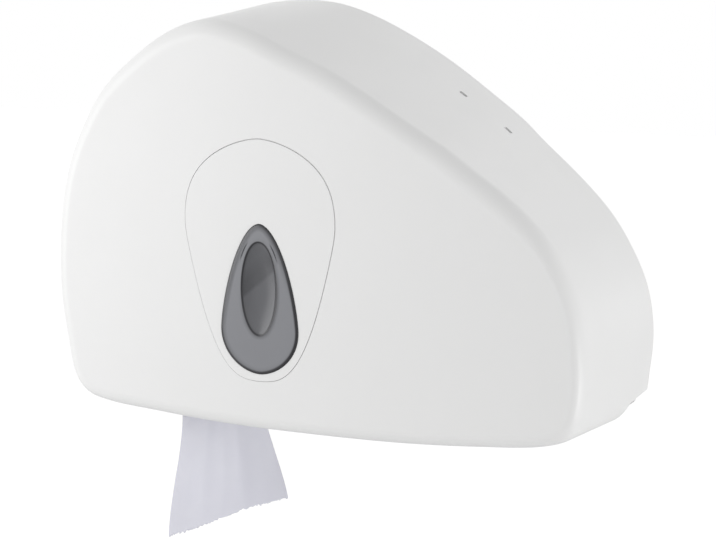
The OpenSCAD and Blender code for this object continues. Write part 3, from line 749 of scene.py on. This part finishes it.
panel_rings = [
    at_depth(moved(grown(egg, -PANEL_GAP - inwards), *PANEL_SHIFT), -COVER_DEPTH + back)
    for inwards, back in PANEL_EDGE
]
plug = grown(egg, -PANEL_SEAT - PLUG_GAP)
panel_rings += [
    at_depth(moved(grown(egg, -PANEL_GAP), *PANEL_SHIFT), PANEL_BACK),
    at_depth(plug, PANEL_BACK),
    at_depth(plug, PLUG_BACK),
]
panel_points, panel_faces = stack(panel_rings)
panel = piece(
    "egg_panel", panel_points, panel_faces, "cover", white_plastic, "white_plastic", "insert_panel"
)
cut(panel, [prism(teardrop, -COVER_DEPTH - BEYOND, -COVER_DEPTH + COVER_WALL + BEYOND)])
soften(panel, PANEL_EDGE_BREAK, angle=60)

# %% [markdown]
# ## The window
#
# The teardrop stands a millimetre proud of the panel, with a rounded shoulder, and has an oval
# dish in its upper part. A dish could be cut with a Boolean, but then its rim would have no rings
# of its own to round and to paint with shade. So the mesh is drawn as rings about the dish's
# centre, which turn step by step from the oval into the teardrop, and each ring carries its
# `depth`, the painted shade that the smoke finish gives it.

# %% Outlines of the window and its dish
WINDOW_PROUD = 1.0
WINDOW_GAP = 0.15
DISH_HALF_W = 14.5
DISH_HALF_H = 35.0
DISH_UP = 31.0
DISH_DEPTH = 2.2
RAYS = 180
LEAST_LEAN = 0.35
dish_centre = np.array([PANEL_X, WINDOW_Z + DISH_UP])
window_face = -COVER_DEPTH - WINDOW_PROUD
ray_angle = np.arange(RAYS) * 2 * math.pi / RAYS


def by_angle(outline, centre):
    """The outline's points in evenly spaced directions from a centre inside it."""
    from_centre = np.asarray(outline) - centre
    angle = np.arctan2(from_centre[:, 1], from_centre[:, 0])
    reach = np.linalg.norm(from_centre, axis=1)
    length = np.interp(ray_angle, angle, reach, period=2 * math.pi)
    return centre + np.stack([np.cos(ray_angle), np.sin(ray_angle)], axis=1) * length[:, None]


def shifted(ring, out):
    """A ring of RAYS points, moved outwards by out, with each point kept on its own ray."""
    ray = (ring - dish_centre) / np.linalg.norm(ring - dish_centre, axis=1, keepdims=True)
    lean = np.maximum(LEAST_LEAN, np.sum(ray * outward(ring), axis=1, keepdims=True))
    return ring + ray * out / lean


oval = np.stack([np.cos(ray_angle) * DISH_HALF_W, np.sin(ray_angle) * DISH_HALF_H], axis=1)
dish_rim = by_angle(dish_centre + oval, dish_centre)
rim = by_angle(grown(teardrop, -WINDOW_GAP), dish_centre)
window_rings = []
window_painted_shade = []


# dark is the ring's painted shade, which is stored as depth.
def add_ring(outline, y, dark):
    window_rings.append(at_depth(outline, y))
    window_painted_shade.append(np.broadcast_to(dark, RAYS))


# %% [markdown]
# In the dish, a slanting patch of the upper half is darker: painted shade that stands in for the
# roll seen through the plastic there. It could be a picture, but a shade worked out from where each
# point lies needs none. The dish's lip is a thin black ring of painted shade, and a soft painted
# shade lies outside it on the lower right.

# %% Dish of the window
DISH_RINGS = 17
# How dark the dish is painted: painted shade, darker to the left and in the slanting patch.
DISH_DARK, DARKER_LEFT, DARKER_PATCH = 0.57, 0.04, 0.16
PATCH_SLANT = 0.8
PATCH = [2.5, 6.0, 15.0, 25.0], [0.0, 1.0, 0.9, 0.25]
# LIP rings are (out, back, painted shade); LIP_SHADE rings are (out, painted shade).
LIP = ((-0.6, 0.5, 0.72), (-0.25, 0.25, 1.0), (0.25, 0.08, 1.0), (0.7, 0.02, 0.9))
LIP_SHADE = ((1.2, 0.6), (1.9, 0.36), (2.9, 0.16))
PLAIN_FROM_LIP, PLAIN_FROM_RIM = 3.9, 5.6

# How far each ray points to the right and down, from 0 to 1: the painted shade is strongest there.
right_share = 0.5 + 0.5 * np.cos(ray_angle + math.radians(35))


# The dish's painted shade at each point of an outline.
def shade_in_dish(outline):
    across, up = (outline - dish_centre).T
    patch = np.interp(up - PATCH_SLANT * across, *PATCH)
    return DISH_DARK - DARKER_LEFT * across / DISH_HALF_W + DARKER_PATCH * patch


for scale in np.linspace(0.04, 0.94, DISH_RINGS):
    around = dish_centre + (dish_rim - dish_centre) * scale
    add_ring(around, window_face + DISH_DEPTH * (1 - 0.75 * scale ** 4), shade_in_dish(around))
for out, back, dark in LIP:
    add_ring(shifted(dish_rim, out), window_face + back, dark)
for out, dark in LIP_SHADE:
    add_ring(shifted(dish_rim, out), window_face, dark * right_share)
plain_start = shifted(dish_rim, PLAIN_FROM_LIP)
plain_end = shifted(rim, -PLAIN_FROM_RIM)
for share in (0.0, 0.35, 0.7, 1.0):
    add_ring(plain_start + (plain_end - plain_start) * share, window_face, 0.0)
print("the dish and the plain face have", len(window_rings), "rings")

# %% [markdown]
# The rim is a rounded shoulder. The photograph shows its dark line thicker on the right, and on
# the left a softer band inside it, where light runs up the plastic. Both are painted shade here. A
# rim of one width would look like a printed line, so each step of the rim has one painted shade
# for the left and one for the right. Behind the panel the window spreads into a flange, which holds
# it in its hole and gets a little of the same painted shade.

# %% Rim of the window
# Each step of the rim: how far in, how far back, and its painted shade on the left and on the
# right.
RIM = (
    (4.6, 0.0, 0.2, 0.0), (3.7, 0.0, 0.42, 0.0), (2.9, 0.01, 0.52, 0.06),
    (2.3, 0.03, 0.55, 0.45), (1.8, 0.06, 0.6, 0.95), (1.2, 0.13, 0.75, 1.0),
    (0.7, 0.27, 0.95, 1.0), (0.3, 0.55, 1.0, 1.0), (0.0, 1.0, 1.0, 1.0),
)
FLANGE = 4.0
FLANGE_THICKNESS = 1.5
FLANGE_DARK = 0.2

for inwards, back, dark_left, dark_right in RIM:
    dark = dark_left + (dark_right - dark_left) * right_share
    add_ring(shifted(rim, -inwards), window_face + back, dark)
add_ring(rim, -COVER_DEPTH + COVER_WALL, 1.0)
flange = shifted(rim, FLANGE)
add_ring(flange, -COVER_DEPTH + COVER_WALL + 0.05, FLANGE_DARK)
add_ring(flange, -COVER_DEPTH + COVER_WALL + FLANGE_THICKNESS, FLANGE_DARK)
window_points, window_faces = stack(window_rings)
window = piece(
    "smoke_window", window_points, window_faces, "cover", smoke, "smoke_window", "level_window"
)
# Each point keeps its painted shade in the attribute named depth.
painted_shade_values = np.concatenate(window_painted_shade).astype(np.float32)
window.data.attributes.new("depth", "FLOAT", "POINT").data.foreach_set("value", painted_shade_values)
shade(window, 50)

# %% [markdown]
# ## The hanging paper
#
# A torn length of tissue leaves the roll on its left, runs down to the outlet and hangs from
# there. A cloth simulation could drop it, but it would hang a little differently in each version
# of Blender, and the photograph shows just how it hangs. So its way is worked out: straight from
# the roll to the outlet, then down.

# %% Way of the paper
ROLL_X = -78.0
ROLL_Z = 60.0
ROLL_RADIUS = 120.0
ROLL_WIDTH = 97.0
ROLL_FRONT = -109.0
OUTLET_X = -112.0
PAPER_GAP = 0.8
TAIL_DROP = 91.5

outlet_z = lowest + COVER_WALL
reach = Vector((OUTLET_X - ROLL_X, outlet_z - ROLL_Z))
roll_to_paper = ROLL_RADIUS + PAPER_GAP
leave_angle = math.atan2(reach.y, reach.x) - math.acos(roll_to_paper / reach.length)
leave_way = Vector((math.cos(leave_angle), math.sin(leave_angle)))
leave = Vector((ROLL_X, ROLL_Z)) + roll_to_paper * leave_way
upper_length = (Vector((OUTLET_X, outlet_z)) - leave).length
tail_length = upper_length + TAIL_DROP
tail_middle = ROLL_FRONT + ROLL_WIDTH / 2
print("the paper runs", round(upper_length), "mm to the outlet and hangs", TAIL_DROP, "mm")

# %% [markdown]
# The sheet is a grid of points: `u` runs down it and `v` across. It turns as it hangs, its front
# corner hangs lower, and soft folds start at the outlet. It was torn off along the tear bar, so
# its lower edge is a slow wave with small teeth and finer fibres on it.

# %% Folds and torn edge
TAIL_SLANT = 25.0
OUTLET_TURN = 10
TAIL_TURN = 40
TURN_RULE = 1.6
TAIL_SHIFT = 5
FOLD_DEPTH = 1.5
CRUMPLE = 0.5
TORN_FROM = 16


def torn(v):
    """How much longer the sheet is at v than on average, from the tear."""
    wave = 1.3 * math.sin(2 * math.pi * (v * 0.9 + 0.15))
    teeth = 1.0 * noise.noise(Vector((v * 34, 3.1, 0)))
    fibres = 1.5 * noise.noise(Vector((v * 90, 7.7, 0)))
    return wave + teeth + fibres


def folded(v, run, hang):
    """How far the sheet stands out at v, for a row that is run of the way and hang below."""
    waves = 0.7 * math.sin(2 * math.pi * (v * 2.4 + 0.1)) + math.sin(2 * math.pi * v * 1.3)
    waves += 0.35 * math.sin(2 * math.pi * (v * 5.3 + 0.4 * hang))
    swell = math.sin(math.pi * min(1.0, 0.25 + 0.6 * hang))
    start = min(1.0, max(0.0, run - 0.75) * 4)
    return FOLD_DEPTH * swell * start * waves * math.sin(math.pi * v)


def tail_point(u, v):
    """A point of the sheet at u down it and v across it, both from 0 to 1."""
    along = u * tail_length + torn(v) * u ** TORN_FROM
    hang = min(1.0, max(0.0, along - upper_length) / TAIL_DROP)
    run = min(1.0, along / upper_length)
    turn = math.radians(OUTLET_TURN * run * run + TAIL_TURN * hang ** TURN_RULE)
    if along < upper_length:
        x = leave.x + (OUTLET_X - leave.x) * run
        z = leave.y + (outlet_z - leave.y) * run
    else:
        x = OUTLET_X + TAIL_SHIFT * hang
        z = outlet_z - (along - upper_length)
    crumple = CRUMPLE * noise.noise(Vector((v * 7, u * 9, 1.7))) * min(1.0, hang * 3)
    across = (v - 0.5) * ROLL_WIDTH
    out = folded(v, run, hang) + crumple
    lower = TAIL_SLANT * (0.5 - v) * hang ** TURN_RULE
    x += across * math.sin(turn) + out * math.cos(turn)
    y = tail_middle + across * math.cos(turn) - out * math.sin(turn)
    return (x, y, z - lower)


# %% Paper tail
TAIL_ROWS = 150
TAIL_COLUMNS = 240
PAPER_THICKNESS = 0.2

tail_points = [
    tail_point(row / TAIL_ROWS, column / TAIL_COLUMNS)
    for row in range(TAIL_ROWS + 1)
    for column in range(TAIL_COLUMNS + 1)
]
wide = TAIL_COLUMNS + 1
corners = [row * wide + column for row in range(TAIL_ROWS) for column in range(TAIL_COLUMNS)]
tail_faces = [(i, i + 1, i + wide + 1, i + wide) for i in corners]
tail = piece("hanging_paper", tail_points, tail_faces, "wall_unit", tissue, "tissue", "tissue_tail")
thickness = tail.modifiers.new("thickness", "SOLIDIFY")
thickness.thickness = PAPER_THICKNESS * MM
thickness.offset = 0.0
settle(tail)
tail.data.shade_smooth()
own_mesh(tail)
print("the paper is", ROLL_WIDTH, "by", round(tail_length), "mm")

# %% [markdown]
# ## The roll
#
# Hundreds of turns of paper show on the roll's two sides as fine rings, and a full roll is never
# quite round or flat: some turns stand a little proud. A bump could fake the rings, but they show
# against the light when the cover is open. So they are real steps in the mesh, a few turns to
# each, and the outermost turn follows a slightly uneven circle.

# %% Paper roll
CORE_RADIUS = 32.0
CORE_GAP = 0.05
ROLL_RINGS = 44
ROLL_SIDES = 160
ROLL_CORNER = 0.8
WOBBLE = 0.15
TURN_STEP = 0.3
OUTSIDE = ((0.25, 0.8), (0.0, 2.0), (0.0, 30.0), (0.0, 65.0), (0.0, 95.0), (0.25, 96.2))


def roll_ring(radius, y):
    ring = []
    for i in range(ROLL_SIDES):
        angle = 2 * math.pi * i / ROLL_SIDES
        spot = Vector((math.cos(angle) * 1.5, math.sin(angle) * 1.5, radius * 0.1))
        near = radius + WOBBLE * noise.noise(spot)
        ring.append((ROLL_X + near * math.cos(angle), y, ROLL_Z + near * math.sin(angle)))
    return ring


def side_rings(y, inwards):
    """Rings from the core out to the edge, each standing in or out a little."""
    rings = []
    for i in range(ROLL_RINGS + 1):
        share = i / ROLL_RINGS
        radius = CORE_RADIUS + CORE_GAP + (ROLL_RADIUS - ROLL_CORNER - CORE_RADIUS) * share
        step = TURN_STEP + TURN_STEP * noise.noise(Vector((share * 37, y, 0)))
        rings.append(roll_ring(radius, y + inwards * step))
    return rings


front_side = side_rings(ROLL_FRONT, 1)
back_side = side_rings(ROLL_FRONT + ROLL_WIDTH, -1)
outside = [roll_ring(ROLL_RADIUS - lower, ROLL_FRONT + y) for lower, y in OUTSIDE]
roll_points, roll_faces = stack(front_side + outside + back_side[::-1], closed=False)
roll_faces += ring_faces(len(roll_points) - ROLL_SIDES, 0, ROLL_SIDES)
roll = piece(
    "paper_roll_turns", roll_points, roll_faces, "jumbo_roll", roll_side, "tissue", "paper_roll"
)
shade(roll, 50)

# %% [markdown]
# ## The latch springs
#
# Two springs push the latch back when the key leaves. Each is a wire that winds round six times.
# A Screw modifier could wind it, but the springs lean with the slope, so rings of points round
# the wire are placed straight in the latch's own frame. They ride on the latch, whole, and move
# with it.

# %% Springs
SPRING_TURNS = 6
SPRING_RADIUS = 3.05
WIRE_RADIUS = 0.45
RINGS_PER_TURN = 24
WIRE_SIDES = 10
spring_place = latch_place()
spring_x = SLOT_PITCH / 2 - 10


def spring_points(side, bottom, top):
    """The points and faces of one spring, in the frame's axes."""
    rings = []
    for i in range(SPRING_TURNS * RINGS_PER_TURN + 1):
        share = i / (SPRING_TURNS * RINGS_PER_TURN)
        angle = 2 * math.pi * SPRING_TURNS * share
        height = bottom + WIRE_RADIUS + (top - bottom - 2 * WIRE_RADIUS) * share
        ring = []
        for j in range(WIRE_SIDES):
            turn = 2 * math.pi * j / WIRE_SIDES
            near = SPRING_RADIUS + WIRE_RADIUS * math.cos(turn)
            local = Vector((
                side * spring_x + near * math.cos(angle), near * math.sin(angle),
                height + WIRE_RADIUS * math.sin(turn),
            ))
            ring.append(spring_place @ local)
        rings.append(ring)
    return stack(rings)


def spring_ends():
    """How low and how high the solid springs reach in the latch's frame."""
    back = spring_place.inverted()
    heights = [(back @ (v.co / MM)).z for v in frame["nodes"]["latch_springs"].data.vertices]
    return min(heights), max(heights)


spring_bottom, spring_top = spring_ends()
all_points = []
all_faces = []
for spring_side in (-1, 1):
    points, faces = spring_points(spring_side, spring_bottom, spring_top)
    all_faces += [tuple(i + len(all_points) for i in face) for face in faces]
    all_points += points
springs = piece(
    "spring_coils", all_points, all_faces, "latch", plated_steel, "plated_steel", "latch_springs"
)
springs.data.shade_smooth()
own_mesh(springs)
print("the springs stand", round(spring_top - spring_bottom, 1), "mm high")

# %% [markdown]
# ## The other pieces
#
# The posts, the sleeves, the latch, the hinge, the back plate and the tear bars sit behind the
# cover until it is opened. They could all be built again, but their solids already have the
# right shapes, so each keeps its solid and gets the finish of its material slot.

# %% Finishes of the other pieces
FINISHES = {
    "white_plastic": white_plastic,
    "grey_plastic": grey_plastic,
    "bare_steel": brushed_steel,
    "plated_steel": plated_steel,
    "smoke_window": smoke,
    "tissue": tissue,
    "cardboard": cardboard,
}
slots = {part["node"]: part["material_slot"] for part in frame["record"]["subparts"]}
for node_name, solid in frame["nodes"].items():
    dress(solid, FINISHES[slots[node_name]])
print("finished", len(slots), "solids")

# %% [markdown]
# ## The floor
#
# The dispenser hangs above a plain pale floor. The photograph's background is pure white, which a
# white floor alone doesn't reach without more lamps. So the floor glows a little, but only to the
# camera, and its glow lights nothing.

# %% Floor
FLOOR_Z = -0.45
FLOOR_HALF = 6
FLOOR_GLOW = 0.5

floor_data = bpy.data.meshes.new("floor")
floor_corners = rectangle(-FLOOR_HALF, -FLOOR_HALF, FLOOR_HALF, FLOOR_HALF)
floor_data.from_pydata([(x, y, FLOOR_Z) for x, y in floor_corners], [], [(0, 1, 2, 3)])
floor = bpy.data.objects.new("floor", floor_data)
bpy.context.scene.collection.objects.link(floor)
floor_paint = Finish("floor_paint", Base_Color=colour(0.8), Roughness=0.8)
seen = floor_paint.node("ShaderNodeLightPath", output="Is Camera Ray")
glow = floor_paint.mix(seen, colour(0.0), colour(1.0))
floor_paint.set(Emission_Color=glow, Emission_Strength=FLOOR_GLOW)
dress(floor, floor_paint)
print("the floor lies", round(-FLOOR_Z / MM), "mm below the middle of the dispenser")

# %% [markdown]
# ## The world
#
# The world stands for the bright walls of a studio. Its strength is 1, pure white, to the camera
# and in whatever shines or is clear, so that the background and the reflections are white. It
# lights the object with less, `AMBIENT`, so that the pale plastic doesn't burn out.

# %% World
AMBIENT = 0.625

world = bpy.data.worlds.new("studio")
bpy.context.scene.world = world
world.use_nodes = True
world.node_tree.nodes.clear()
studio = Nodes(world.node_tree)
white_to = studio.node("ShaderNodeLightPath", output="Is Camera Ray")
for ray in ("Is Glossy Ray", "Is Transmission Ray"):
    white_to = white_to.larger(studio.node("ShaderNodeLightPath", output=ray))
strength = AMBIENT + (1.0 - AMBIENT) * white_to
light = studio.node("ShaderNodeBackground", inputs={"Color": colour(1.0), "Strength": strength})
studio.node("ShaderNodeOutputWorld", inputs={"Surface": light})
print("the world has", len(world.node_tree.nodes), "nodes")

# %% [markdown]
# ## The lamps
#
# A large soft lamp stands on the left in front, and makes the face paler on its left. A smaller
# one, low on the right, lights the right wall, and two weak ones behind lift the right and the
# top. One big lamp could light it all, but between these lies a darker gap, and the rounded front
# edge, which faces the gap, shows as the darker band of the photograph.

# %% Lamps
def lamp(name, direction, distance, size, level):
    """A square lamp that shines at the cover. level is how bright it alone makes a white card."""
    data = bpy.data.lights.new(name, "AREA")
    data.shape = "SQUARE"
    data.size = size
    data.energy = level * math.pi ** 2 * distance ** 2
    made = bpy.data.objects.new(name, data)
    bpy.context.scene.collection.objects.link(made)
    towards = Vector(direction).normalized()
    made.location = CAMERA_TARGET + towards * distance
    made.rotation_mode = "QUATERNION"
    made.rotation_quaternion = towards.to_track_quat("Z", "Y")
    print(name, "shines with", round(data.energy, 2), "W")


lamp("lamp_left", (-0.75, -0.6, 0.16), 1.25, 0.9, 0.405)
lamp("lamp_right_behind", (0.8, 0.55, 0.1), 1.3, 0.9, 0.03)
lamp("lamp_right_low", (0.95, -0.12, -0.3), 1.0, 0.4, 0.2)
lamp("lamp_above", (0.2, 0.9, 0.8), 1.4, 0.8, 0.06)
